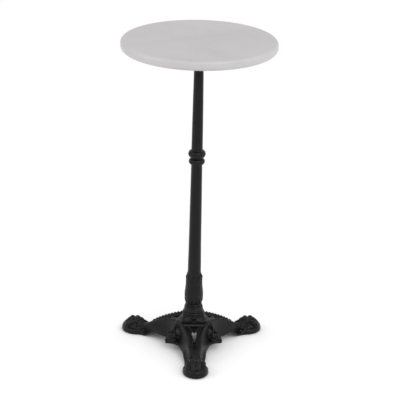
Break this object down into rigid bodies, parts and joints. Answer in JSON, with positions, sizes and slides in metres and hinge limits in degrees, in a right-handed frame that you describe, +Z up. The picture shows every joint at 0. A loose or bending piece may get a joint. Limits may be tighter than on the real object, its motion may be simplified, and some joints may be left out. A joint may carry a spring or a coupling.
{
  "type": "bistro table",
  "caption": "Tall round marble bistro table on a two-part ringed cast-iron column with a three-legged lion-paw base.",
  "frame": {"origin": "on the floor, on the column's axis", "axes": "+Z up along the column; -Y along one leg, with the other two legs at 30 and 150 degrees from +X"},
  "size_m": [0.4999, 0.519, 1.06],
  "materials": {
    "marble": "polished white marble with faint grey clouds",
    "black_iron": "satin black enamel over a cast surface",
    "zinc_steel": "bright zinc plate",
    "insert_brass": "turned and knurled",
    "pad_rubber": "matt black"
  },
  "bodies": {
    "root": {"marble_top": "marble", "marble_inserts": "insert_brass", "spider_pads": "pad_rubber", "top_spider": "black_iron", "spider_screws": "zinc_steel", "spider_washers": "zinc_steel", "upper_column": "black_iron", "lower_column": "black_iron", "tripod_base": "black_iron", "foot_glides": "pad_rubber", "tie_rod": "zinc_steel", "tie_rod_top_nut": "zinc_steel", "tie_rod_top_washer": "zinc_steel", "tie_rod_base_nut": "zinc_steel", "hub_plate_washer": "zinc_steel", "hub_spring_washer": "zinc_steel"}
  },
  "joints": []
}
